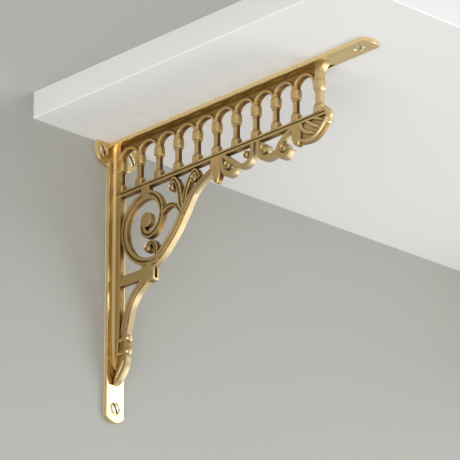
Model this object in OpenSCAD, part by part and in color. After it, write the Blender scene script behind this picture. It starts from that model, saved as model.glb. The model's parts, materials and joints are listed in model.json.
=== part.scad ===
// Wall shelf: a plain painted board carried by two ornamental cast-brass brackets.
//
// X runs along the wall, the wall face is the plane Y = 0 with the room at -Y, and Z is up.
// The origin is the middle of the board's lower back edge, so the board's underside is Z = 0.
// Each bracket is drawn in its own side plane, as [outward from the wall, upward], and is then
// stood up across the wall. Everything behind Y = 0 sits inside the wall.

/* [Shelf board] */
// Length of the board along the wall
board_length = 600; // [450:5:900]
// Depth of the board from the wall to its front edge
board_depth = 305; // [290:1:400]
// Thickness of the board
board_t = 20; // [18:0.5:30]
// Radius of the board's softened front edges
board_edge_r = 1.2; // [0.4:0.1:4]

/* [Bracket strips] */
// Reach of the arm strip out from the wall
bracket_reach = 254; // [200:1:285]
// Drop of the wall strip below the board
bracket_drop = 203; // [165:1:260]
// Distance from each board end to the middle of its bracket
bracket_inset = 75; // [40:1:120]
// Width of the wall strip and of the arm strip
strip_w = 16; // [14:0.5:22]
// Thickness of both strips
strip_t = 3; // [2.6:0.1:5]
// How far the rounded end of a strip stands past its corners
strip_bulge = 3.2; // [1:0.1:6]

/* [Ears] */
// Width over the two ears at the head of the wall strip
ear_span = 38; // [34:0.5:50]
// Height of the ears below the board
ear_drop = 17; // [14:0.5:24]
// Distance between the two ear screws
ear_screw_spacing = 26; // [24:0.5:32]
// Distance from the board down to the ear screws
ear_screw_drop = 7; // [6:0.5:9]

/* [Screw places] */
// Distance from the foot of the wall strip up to its screw
foot_screw_up = 10; // [8:0.5:16]
// Distance from the tip of the arm strip back to its screw
arm_screw_back = 13; // [9:0.5:20]

/* [Lattice] */
// Thickness of the pierced ornament between the strips
web_t = 4.6; // [3.5:0.1:7]
// Reach of the rib that runs down the wall strip, from the wall
rib_reach = 9; // [7:0.5:12]
// Width of the raised bead at the foot of that rib
bead_w = 10.4; // [8:0.1:13]
// Height of that bead above the wall strip
bead_h = 1.4; // [0.6:0.1:3]
// Radius of the fillets where the ornament's members meet
fillet_r = 0.8; // [0.3:0.1:1.5]

/* [Gallery] */
// Number of arches between the wall and the end post
arch_count = 10; // [4:1:14]
// Plain length of arm past the middle of the end post
arm_plain = 51; // [40:1:80]
// Distance from the wall to the middle of the first column
first_column = 7.6; // [6:0.1:12]
// Thickness of the band above the arches, from the board down to their crowns
arch_crown = 7; // [5:0.5:12]
// Height of the capitals
capital_h = 6.4; // [4:0.2:12]
// Width of the capitals along the arm
capital_w = 6.6; // [5:0.1:10]
// Thickness of the capitals across the arm
capital_t = 5.8; // [4.8:0.1:9]
// Height of a column shaft between its capital and its base
shaft_h = 12; // [8:0.5:30]
// Width of a column shaft over its flats
shaft_w = 4; // [3:0.1:6]
// Width of the end post's shaft over its flats
end_shaft_w = 5.2; // [4:0.1:9]
// Extra distance from the last arch to the end post, which leaves room for its wider capital
end_post_shift = 3; // [0:0.1:6]
// Height of the column bases
base_h = 5.3; // [3:0.1:9]
// Height of the rail below the columns
rail_h = 4; // [3:0.5:10]
// Thickness of the rail
rail_t = 5.4; // [5:0.1:10]
// Reach of the curved gusset between the end post and the arm
gusset_r = 8.5; // [4:0.5:11]
// Length of the rail past the middle of the end post
rail_end = 8; // [5:0.5:14]

/* [Screws] */
// Diameter of a screw's head
head_d = 8; // [6:0.1:9]
// Diameter of a screw's plain shank
shank_d = 4.2; // [3.4:0.1:5]
// Diameter over a screw's thread
thread_d = 4; // [3.2:0.1:4.8]
// Diameter of a screw's core under the thread
core_d = 2.9; // [2:0.1:3.4]
// Distance between two turns of the thread
thread_pitch = 1.8; // [1.2:0.1:2.4]
// Length of a wall screw
wall_screw_l = 32; // [25:1:50]
// Length of a shelf screw
shelf_screw_l = 16; // [12:1:19]
// Width of the slot in a screw's head
slot_w = 1.1; // [0.8:0.1:1.6]
// Depth of that slot
slot_depth = 1.1; // [0.6:0.1:1.4]

/* [Wall plugs] */
// Outer diameter of a wall plug
plug_d = 7; // [6:0.5:8]
// Length of a wall plug
plug_l = 30; // [25:1:50]
// Length of a plug that is whole, from its mouth to its slits
plug_collar = 17; // [10:1:22]
// Width of the slits that let a plug spread
plug_slit = 0.8; // [0.5:0.1:1.5]

/* [Clearances] */
// Radial clearance between a screw's shank and the hole that it passes through
shank_clearance = 0.25; // [0.1:0.05:0.6]
// Radial clearance between a screw's head and its countersink
head_clearance = 0.05; // [0.02:0.01:0.3]
// Radial clearance between a screw and its pilot hole or plug
pilot_clearance = 0.06; // [0.02:0.01:0.2]
// Clearance past the tip of a screw in a blind hole
tip_clearance = 1; // [0.5:0.1:3]

/* [Hidden] */
$fn = 48;
overlap = 0.4; // how far two pieces of one casting run into each other
sheer = 0.05; // how far a cut runs past the face that it opens

// The gallery's levels, from the board down
end_post = bracket_reach - arm_plain;
arch_pitch = (end_post - end_post_shift - first_column) / arch_count;
arch_r = (arch_pitch - capital_w / 2) / 2;
arch_spring = arch_crown + arch_r;
capital_top = arch_spring - capital_h * 0.3;
shaft_top = capital_top + capital_h;
base_top = shaft_top + shaft_h;
rail_top = base_top + base_h;
rail_bottom = rail_top + rail_h;

// The scrolls are drawn for a 254 x 203 bracket, downwards from a level just below the rail,
// and stretch with the bracket
scroll_reach = 254;
scroll_drop = 160;
scroll_gap = 2.5;
scroll_level = rail_bottom + scroll_gap;
stretch_out = bracket_reach / scroll_reach;
stretch_down = (bracket_drop - scroll_level) / scroll_drop;

// The brace, as [outward, below that level, width]: from the leaf under the rail down to the tie bar
brace = [
    [104, 3, 4], [95, 7, 4.6], [87, 11.5, 5], [80.5, 16.5, 6], [74.5, 24, 7.6], [69, 31, 8.2],
    [63, 38.5, 8.2], [56.5, 45, 8], [49.5, 51, 7.6], [42, 55, 7], [34, 56, 5]
];
// The great scroll, from the foot of the brace round to its eye
great_scroll = [
    [46, 53, 6], [37, 52.5, 5.6], [27.5, 49.5, 5.4], [19, 42.5, 5.4], [13.6, 32.5, 5.6],
    [12.8, 22, 5.8], [16.4, 12.6, 6], [24, 6, 6.4], [33, 3.2, 6.6], [41.5, 5, 6], [47.6, 10.5, 5],
    [49.9, 18, 4.4], [48.8, 25.5, 4.4], [44.4, 31, 4.6], [38, 33.5, 4.6], [32.4, 31, 4.4], [30.4, 25.5, 4]
];
// The little curl that rises from the foot of the great scroll
foot_curl = [[45.5, 50, 3.4], [44.8, 44.6, 3.4], [42.6, 40.4, 3.2], [39, 39.4, 3], [36, 41, 3]];
// The two tendrils that branch up from the brace, and the bridge from the great scroll to them
left_tendril = [[73, 26, 5], [69.6, 19, 4.8], [68.4, 11, 4.4], [66, 3.6, 4], [62, -0.4, 3.8], [59.4, 3.6, 3]];
right_tendril = [[73, 24, 5], [74.4, 13, 4.2], [78.4, 5, 4], [83.6, 0.4, 4.4], [87.2, 5.4, 3]];
bridge = [[51, 20, 3.4], [58, 17.4, 3.2], [64, 19, 3.2], [69, 25, 3.4]];
// The running scrolls under the rail, from the middle leaf out to the end leaf
left_wave = [[112.4, -2, 4.6], [121, 5, 4.6], [127.5, 10.6, 4.8], [134, 12.4, 5], [139.4, 9, 4.8], [140.6, -2, 4.4]];
left_hook = [[109.4, -2, 5], [112.4, 9, 5], [117, 13.8, 5.4], [123.4, 14.6, 3.4]];
right_wave = [[146, -2, 4.4], [147, 7, 5], [152, 12, 5.2], [159, 13.8, 5], [165.4, 13, 4.6]];
right_hook = [[179, -1.6, 4.4], [171.6, 3.4, 5], [165.6, 10, 5.2], [167, 16.4, 5.4], [172.4, 18.6, 4.6], [177.4, 17, 3]];
// The tie bar back to the rib, and the lower brace down to the finial
tie_bar = [[5, 60, 6.8], [14, 60, 6.8], [26, 60.4, 7.6], [36, 61, 9]];
knee = [[31, 56], [42.6, 57.4], [42.6, 67.4], [31, 67.4]];
lower_brace = [
    [38, 63, 8], [31, 67.6, 7.6], [24.4, 72.4, 7.4], [19.6, 78.4, 7.6], [16.8, 85, 7.8], [15, 92, 8],
    [13.6, 99, 8.6], [12.2, 105, 9]
];
// The neck between the rail and the top of the great scroll
scroll_neck = [[33.6, -3, 8.4], [33.6, 2, 8.4]];
// The closed outlines of the two leaves, the pendant and the finial, as [outward, below that level]
middle_leaf = [[99.6, -3.6], [99.4, 8], [104.8, 15.4], [108.6, 10.4], [110.4, -3.6]];
end_leaf = [[180, -3.6], [184, 10], [191, 12.6], [199, 12.8], [206, 9.6], [211, 4], [210, -3.6]];
pendant = [[178.6, -3.6], [178.8, 9], [182.8, 14.4], [186.6, 10.4], [187, -3.6]];
finial = [[2, 112], [15.6, 114.4], [17.4, 118], [15, 123.4], [11, 129], [6.6, 133.4], [2, 131]];
// The round eyes that the scrolls end in, as [outward, below that level, radius]
eyes = [
    [35, 21.6, 5.4], [37, 42.8, 3.2], [60.8, 5.2, 2.8], [83.2, 5, 3], [114.6, 5.6, 4],
    [151, 4.4, 4.2], [135.8, 4.2, 3], [171, 14, 3.8]
];
eye_t = web_t + 1.2;
// The two rings of the finial, as [distance below that level, reach, height]
finial_rings = [[102.4, 19, 4.8], [112, 18.4, 4.6]];
finial_neck = [98, 120];
finial_neck_reach = 15.4;
rib_foot = 130;

left_x = -board_length / 2 + bracket_inset;
right_x = -left_x;
head_h = (head_d - shank_d) / 2;
foot_screw_z = -bracket_drop + foot_screw_up;
arm_screw_y = -bracket_reach + arm_screw_back;

// ---- Curves ----

// A point on the smooth curve through four points, t of the way from b to c
function between(a, b, c, d, t) =
    (2 * b + (c - a) * t + (2 * a - 5 * b + 4 * c - d) * t * t + (3 * b - a - 3 * c + d) * t * t * t) / 2;

// An open row of points made smooth, with the given number of steps from each to the next
function smooth(p, steps = 3) = let (n = len(p)) concat(
    [for (i = [0:n - 2], k = [0:steps - 1])
        between(p[max(i - 1, 0)], p[i], p[i + 1], p[min(i + 2, n - 1)], k / steps)],
    [p[n - 1]]);

// A closed row of points made smooth
function smooth_loop(p, steps = 3) = let (n = len(p))
    [for (i = [0:n - 1], k = [0:steps - 1])
        between(p[(i + n - 1) % n], p[i], p[(i + 1) % n], p[(i + 2) % n], k / steps)];

// Where a point of the ornament lies in the bracket's side plane
function placed(p) = [p[0] * stretch_out, -scroll_level - p[1] * stretch_down];

// A point on one side of a member, half its width away from its middle line
function side_point(path, i, side) =
    let (a = placed(path[max(i - 1, 0)]), b = placed(path[min(i + 1, len(path) - 1)]), along = b - a)
    placed(path[i]) + side * path[i][2] / 2 * [-along[1], along[0]] / norm(along);

// A curved member of the ornament with round ends
module member(points) {
    path = smooth(points);
    last = len(path) - 1;
    polygon(concat(
        [for (i = [0:last]) side_point(path, i, 1)],
        [for (i = [last:-1:0]) side_point(path, i, -1)]));
    for (end = [path[0], path[last]])
        translate(placed(end)) circle(d = end[2], $fn = 20);
}

// A leaf or drop with a smooth closed outline
module leaf(points) polygon([for (p = smooth_loop(points)) placed(p)]);

// Stands a drawing in the side plane up across the wall, centred on the bracket
module across_wall(thickness) rotate([90, 0, -90]) linear_extrude(thickness, center = true) children();

// A box given by its reach from the wall, its level and its width
module block(out, up, width) translate([-width / 2, -out[1], up[0]])
    cube([width, out[1] - out[0], up[1] - up[0]]);

// ---- Fastenings ----

// A slotted countersunk wood screw, with its head at the top and the middle of the head at the origin
module wood_screw(length) {
    thread_l = length * 0.62;
    turns = floor((thread_l - thread_d) / thread_pitch);
    difference() {
        rotate_extrude() polygon(concat(
            [[0, -length], [core_d / 2, -length + thread_d]],
            [for (i = [0:turns - 1], k = [0, 1])
                let (z = -length + thread_d + i * thread_pitch)
                k == 0 ? [core_d / 2, z + thread_pitch * 0.3] : [thread_d / 2, z + thread_pitch * 0.65]],
            [[core_d / 2, -length + thread_d + turns * thread_pitch],
             [shank_d / 2, -length + thread_d + (turns + 0.6) * thread_pitch],
             [shank_d / 2, -head_h], [head_d / 2, 0], [0, 0]]));
        translate([-head_d, -slot_w / 2, -slot_depth]) cube([2 * head_d, slot_w, slot_depth + sheer]);
    }
}

// The hole for a screw: the countersink's face is at the origin and the hole goes down
module screw_hole(depth) {
    hole_r = shank_d / 2 + shank_clearance;
    sink_r = head_d / 2 + head_clearance;
    translate([0, 0, -depth - sheer]) cylinder(r = hole_r, h = depth + 2 * sheer);
    translate([0, 0, hole_r - sink_r]) cylinder(r1 = hole_r, r2 = sink_r, h = sink_r - hole_r);
    cylinder(r = sink_r, h = sheer);
}

// A nylon sleeve for a screw in masonry, with its mouth at the origin and its slit end away from it
module wall_plug_body() difference() {
    cylinder(d = plug_d, h = plug_l);
    translate([0, 0, -sheer]) cylinder(d = shank_d + 2 * pilot_clearance, h = plug_l + 2 * sheer);
    for (turn = [0, 90]) rotate([0, 0, turn]) translate([-plug_d, -plug_slit / 2, plug_collar])
        cube([2 * plug_d, plug_slit, plug_l]);
}

// Where a bracket's fastenings sit: the wall screws head outwards, the shelf screw head down
module at_wall_screw(x, z) translate([x, -strip_t, z]) rotate([90, 0, 0]) children();
module at_shelf_screw() translate([0, arm_screw_y, -strip_t]) rotate([180, 0, 0]) children();
module at_ear(side) at_wall_screw(side * ear_screw_spacing / 2, -ear_screw_drop) children();
module at_foot() at_wall_screw(0, foot_screw_z) children();
module plug_at(x, z) translate([x, 0, z]) rotate([-90, 0, 0]) wall_plug_body();

// ---- Bracket ----

// A flat strip from the origin up the page, with its far end rounded
module strip_outline(length) {
    end_r = (strip_w * strip_w / 4 + strip_bulge * strip_bulge) / (2 * strip_bulge);
    translate([-strip_w / 2, 0]) square([strip_w, length - strip_bulge]);
    intersection() {
        translate([0, length - end_r]) circle(end_r);
        translate([-strip_w / 2, length - strip_bulge - overlap]) square([strip_w, strip_bulge + 2 * overlap]);
    }
}

// One ear: a quarter round below a short straight side
module ear_outline(side) {
    ear_w = (ear_span - strip_w) / 2;
    middle = side * strip_w / 2;
    translate([middle, ear_drop - ear_w]) intersection() {
        circle(ear_w);
        translate([side > 0 ? -overlap : -ear_w, 0]) square([ear_w + overlap, ear_w]);
    }
    translate([side > 0 ? middle - overlap : middle - ear_w, 0])
        square([ear_w + overlap, ear_drop - ear_w + overlap / 2]);
}

// The strip against the wall, with its two ears
module wall_strip() rotate([-90, 0, 180]) mirror([0, 0, 1]) translate([0, 0, -strip_t])
    linear_extrude(strip_t) {
        strip_outline(bracket_drop);
        ear_outline(1);
        ear_outline(-1);
    }

// The strip under the board
module arm_strip() translate([0, 0, -strip_t]) mirror([0, 1, 0])
    linear_extrude(strip_t) strip_outline(bracket_reach);

// The pierced band over the arches, with the curved gusset out to the arm
module spandrel_outline() {
    post_face = end_post + end_shaft_w / 2;
    gusset_foot = -strip_t - gusset_r;
    difference() {
        translate([0, -arch_spring]) square([post_face, arch_spring - overlap]);
        for (i = [0:arch_count - 1])
            translate([first_column + (i + 0.5) * arch_pitch, -arch_spring]) circle(arch_r);
    }
    difference() {
        translate([end_post, gusset_foot]) square([end_shaft_w / 2 + gusset_r, gusset_r + overlap]);
        translate([post_face + gusset_r, gusset_foot]) circle(gusset_r - overlap);
    }
}

// The scrolls, leaves, braces and rib that fill the bracket below the rail
module scroll_outline() {
    rib_end = placed([0, rib_foot])[1];
    translate([0, rib_end]) square([rib_reach, -rib_end - overlap]);
    for (curve = [brace, great_scroll, foot_curl, left_tendril, right_tendril, bridge, left_wave,
                  left_hook, right_wave, right_hook, tie_bar, lower_brace, scroll_neck])
        member(curve);
    polygon([for (corner = knee) placed(corner)]);
    for (outline = [middle_leaf, end_leaf, pendant, finial]) leaf(outline);
    for (eye = eyes) translate(placed(eye)) circle(eye[2] - overlap, $fn = 24);
    neck = [for (level = finial_neck) placed([0, level])[1]];
    translate([0, neck[1]]) square([finial_neck_reach, neck[0] - neck[1]]);
}

// All the flat ornament as one plate with filleted corners
module lattice() across_wall(web_t) offset(r = -fillet_r, $fn = 16) offset(r = fillet_r, $fn = 16) {
    spandrel_outline();
    scroll_outline();
    translate([0, -rail_bottom - overlap]) square([end_post + rail_end - overlap, rail_h + 2 * overlap]);
}

// An eight-sided shaft between a block capital and a stepped base
module column(x, shaft) {
    extra = shaft - shaft_w;
    width = capital_w + extra;
    thick = capital_t + extra / 2;
    step = base_h * 0.45;
    block([x - width / 2, x + width / 2], [-shaft_top, -capital_top], thick);
    translate([0, -x, -base_top - overlap]) rotate([0, 0, 22.5])
        cylinder(d = shaft / cos(22.5), h = shaft_h + 2 * overlap, $fn = 8);
    block([x - width / 2 + 0.8, x + width / 2 - 0.8], [-base_top - step - overlap, -base_top], thick - 0.8);
    block([x - width / 2, x + width / 2], [-rail_top - overlap, -base_top - step], thick - 0.2);
}

// The row of columns, from the rib to the end post
module colonnade() {
    for (i = [0:arch_count - 1]) column(first_column + i * arch_pitch, shaft_w);
    column(end_post, end_shaft_w);
}

// The rail under the columns, the bead on the wall strip, the scroll eyes and the finial's rings
module mouldings() {
    block([strip_t - overlap, end_post + rail_end], [-rail_bottom, -rail_top], rail_t);
    bead_foot = placed([0, rib_foot])[1];
    block([strip_t - overlap, strip_t + bead_h], [bead_foot, -strip_t + overlap], bead_w);
    for (eye = eyes) translate([0, -placed(eye)[0], placed(eye)[1]]) rotate([0, 90, 0])
        cylinder(r = eye[2], h = eye_t, center = true);
    for (ring = finial_rings) {
        level = placed([0, ring[0]])[1];
        block([strip_t - overlap, ring[1]], [level - ring[2] / 2, level + ring[2] / 2], rail_t);
    }
}

// One bracket, cast in one piece and then drilled and countersunk
module bracket() color([0.80, 0.62, 0.28]) difference() {
    union() {
        wall_strip();
        arm_strip();
        lattice();
        colonnade();
        mouldings();
    }
    for (side = [-1, 1]) at_ear(side) screw_hole(strip_t);
    at_foot() screw_hole(strip_t);
    at_shelf_screw() screw_hole(strip_t);
}

// ---- Sub-parts ----

// The board, with its front edges softened and a pilot hole over each arm screw
module shelf_board() color([0.93, 0.93, 0.91]) difference() {
    rotate([90, 0, 90]) linear_extrude(board_length, center = true) {
        translate([-board_depth + board_edge_r, 0]) square([board_depth - board_edge_r, board_t]);
        translate([-board_depth, board_edge_r]) square([2 * board_edge_r, board_t - 2 * board_edge_r]);
        for (up = [board_edge_r, board_t - board_edge_r])
            translate([-board_depth + board_edge_r, up]) circle(board_edge_r);
    }
    for (x = [left_x, right_x]) translate([x, arm_screw_y, -sheer])
        cylinder(d = shank_d + 2 * pilot_clearance, h = shelf_screw_l - strip_t + tip_clearance + sheer);
}

module left_bracket() translate([left_x, 0, 0]) bracket();
module right_bracket() translate([right_x, 0, 0]) bracket();

module shelf_screw(x) color([0.84, 0.68, 0.34]) translate([x, 0, 0]) at_shelf_screw() wood_screw(shelf_screw_l);
module left_shelf_screw() shelf_screw(left_x);
module right_shelf_screw() shelf_screw(right_x);

module ear_screw(x, side) color([0.84, 0.68, 0.34]) translate([x, 0, 0]) at_ear(side) wood_screw(wall_screw_l);
module left_outer_ear_screw() ear_screw(left_x, -1);
module left_inner_ear_screw() ear_screw(left_x, 1);
module right_outer_ear_screw() ear_screw(right_x, 1);
module right_inner_ear_screw() ear_screw(right_x, -1);

module foot_screw(x) color([0.84, 0.68, 0.34]) translate([x, 0, 0]) at_foot() wood_screw(wall_screw_l);
module left_foot_screw() foot_screw(left_x);
module right_foot_screw() foot_screw(right_x);

module ear_plug(x, side) color([0.55, 0.56, 0.58]) plug_at(x + side * ear_screw_spacing / 2, -ear_screw_drop);
module left_outer_ear_plug() ear_plug(left_x, -1);
module left_inner_ear_plug() ear_plug(left_x, 1);
module right_outer_ear_plug() ear_plug(right_x, 1);
module right_inner_ear_plug() ear_plug(right_x, -1);

module foot_plug(x) color([0.55, 0.56, 0.58]) plug_at(x, foot_screw_z);
module left_foot_plug() foot_plug(left_x);
module right_foot_plug() foot_plug(right_x);

shelf_board();
left_bracket();
right_bracket();
left_shelf_screw();
right_shelf_screw();
left_outer_ear_screw();
left_inner_ear_screw();
left_foot_screw();
right_outer_ear_screw();
right_inner_ear_screw();
right_foot_screw();
left_outer_ear_plug();
left_inner_ear_plug();
left_foot_plug();
right_outer_ear_plug();
right_inner_ear_plug();
right_foot_plug();
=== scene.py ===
import json
import logging
import math
from collections.abc import Callable, Sequence
from dataclasses import dataclass, field
from enum import Enum

import bmesh
import bpy
from mathutils import Matrix, Vector

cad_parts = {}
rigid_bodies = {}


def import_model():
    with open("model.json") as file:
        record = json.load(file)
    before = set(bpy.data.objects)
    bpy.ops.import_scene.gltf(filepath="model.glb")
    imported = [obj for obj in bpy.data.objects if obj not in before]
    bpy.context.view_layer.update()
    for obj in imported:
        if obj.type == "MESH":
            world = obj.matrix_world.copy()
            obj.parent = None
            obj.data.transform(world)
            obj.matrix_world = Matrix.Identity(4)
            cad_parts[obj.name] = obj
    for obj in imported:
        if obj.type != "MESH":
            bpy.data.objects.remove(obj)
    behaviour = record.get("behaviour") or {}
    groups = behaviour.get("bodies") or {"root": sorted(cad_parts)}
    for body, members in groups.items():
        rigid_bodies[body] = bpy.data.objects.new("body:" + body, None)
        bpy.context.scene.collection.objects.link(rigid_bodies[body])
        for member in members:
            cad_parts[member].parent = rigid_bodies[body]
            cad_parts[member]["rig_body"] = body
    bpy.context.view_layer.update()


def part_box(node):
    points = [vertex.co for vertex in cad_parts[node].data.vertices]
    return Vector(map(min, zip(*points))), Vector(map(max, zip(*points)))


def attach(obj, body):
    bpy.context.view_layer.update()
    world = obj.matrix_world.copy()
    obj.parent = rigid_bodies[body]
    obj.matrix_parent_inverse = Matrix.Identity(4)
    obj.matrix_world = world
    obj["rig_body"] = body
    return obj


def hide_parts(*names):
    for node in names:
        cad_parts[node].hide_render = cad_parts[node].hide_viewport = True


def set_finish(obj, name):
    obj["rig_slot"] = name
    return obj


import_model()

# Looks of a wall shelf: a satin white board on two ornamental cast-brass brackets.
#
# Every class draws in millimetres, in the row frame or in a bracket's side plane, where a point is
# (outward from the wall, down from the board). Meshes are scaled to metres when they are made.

MM = 0.001
CREASE = math.radians(32)
FINE_CREASE = math.radians(20)

# Where the looks of a strip change, in millimetres from its middle line, the board or the wall.
BRACKET_X = 225.0
RIB_SIDE = 2.9
BEAD_SIDE = 4.3
STRIP_RIM = 7.4
EAR_SIDE = 8.0
EAR_FOOT = 16.5
EAR_BACK = 10.0
FIELD_FOOT = 134.0
FIELD_TIP = 212.0
# Down to this level the inner half of a strip carries a painted shade band.
INNER_SHADE_FOOT = 172.0
# How fast one look gives way to the next, per metre.
SHARP = 1800.0
FOOT_FADE = 17.0

Flat = tuple[float, float]
Solid = tuple[float, float, float]
Stroke = tuple[float, float, float]
Samples = list[tuple[float, ...]]
Rows = Sequence[Sequence[float]]
Ring = list[Solid]
Place = Callable[[float, float, float], Solid]

log = logging.getLogger("wall_shelf")


# ---- Curves and rings ----


def smooth(points: Rows, steps: int = 7, closed: bool = False) -> Samples:
    """Runs a smooth curve through a row of points.

    Args:
        points: The points, each with any number of values.
        steps: Samples from each point to the next.
        closed: Whether the curve returns to its first point.

    Returns:
        The samples along the curve.
    """
    count = len(points)
    spans = count if closed else count - 1

    def pick(index: int) -> Sequence[float]:
        """Gives a control point, wrapped round or held at the ends."""
        return points[index % count] if closed else points[min(max(index, 0), count - 1)]

    samples = []
    for span in range(spans):
        a, b, c, d = (pick(span + shift) for shift in (-1, 0, 1, 2))
        for step in range(steps):
            t = step / steps
            samples.append(tuple(
                (2 * q + (r - p) * t + (2 * p - 5 * q + 4 * r - s) * t * t
                 + (3 * q - p - 3 * r + s) * t ** 3) / 2 for p, q, r, s in zip(a, b, c, d)))
    if not closed:
        samples.append(tuple(points[-1]))
    return samples


def arc(centre: Flat, radius: float, start: float, end: float, steps: int) -> list[Flat]:
    """Samples an arc from its start angle to its end angle, in degrees, in so many steps."""
    turns = [math.radians(start + (end - start) * i / steps) for i in range(steps + 1)]
    return [(centre[0] + radius * math.cos(turn), centre[1] + radius * math.sin(turn)) for turn in turns]


def chamfered(half_a: float, half_b: float, cut: float) -> list[Flat]:
    """Gives the eight corners of a rectangle, by its half sides, whose four corners are cut off."""
    a, b = half_a - cut, half_b - cut
    upper = [(half_a, b), (a, half_b), (-a, half_b), (-half_a, b)]
    return upper + [(-x, -y) for x, y in upper]


class Moulding(Enum):
    """Cross-sections of the ornament: (across, out) as shares of half the width and half the thickness."""

    RIDGED = ((-1, 0.8), (-0.93, 0.94), (-0.78, 1), (-0.4, 0.98), (-0.2, 0.66), (-0.02, 0.64),
              (0.14, 0.95), (0.5, 1), (0.8, 0.97), (0.94, 0.88), (1, 0.72))
    DOUBLE = ((-1, 0.8), (-0.9, 0.98), (-0.66, 1), (-0.5, 0.68), (-0.38, 0.68), (-0.26, 0.95), (0, 1),
              (0.3, 0.96), (0.42, 0.66), (0.54, 0.66), (0.64, 0.9), (0.9, 0.92), (1, 0.8))
    RAIL = ((-1, 0.84), (-0.94, 0.96), (-0.8, 1), (-0.28, 1), (-0.18, 0.72), (0.02, 0.72),
            (0.12, 0.92), (0.74, 0.92), (0.92, 0.84), (1, 0.66))
    ROUND = ((-1, 0.35), (-0.92, 0.62), (-0.7, 0.84), (-0.36, 0.96), (0, 1), (0.36, 0.96),
             (0.7, 0.84), (0.92, 0.62), (1, 0.35))
    BAND = ((-1, 0.86), (-0.9, 0.97), (-0.7, 1), (0.7, 1), (0.9, 0.97), (1, 0.86))

    def loop(self) -> list[Flat]:
        """Gives the whole section, front and back, as one closed loop."""
        front = list(self.value)
        return front + [(across, -out) for across, out in reversed(front)]


def linked(name: str, data: bpy.types.ID) -> bpy.types.Object:
    """Makes an object of its data and puts it in the scene."""
    made = bpy.data.objects.new(name, data)
    bpy.context.scene.collection.objects.link(made)
    return made


def evaluated(made: bpy.types.Object) -> bpy.types.Mesh:
    """Gives a new mesh of an object as its curves or modifiers leave it."""
    bpy.context.view_layer.update()
    return bpy.data.meshes.new_from_object(made.evaluated_get(bpy.context.evaluated_depsgraph_get()))


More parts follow.
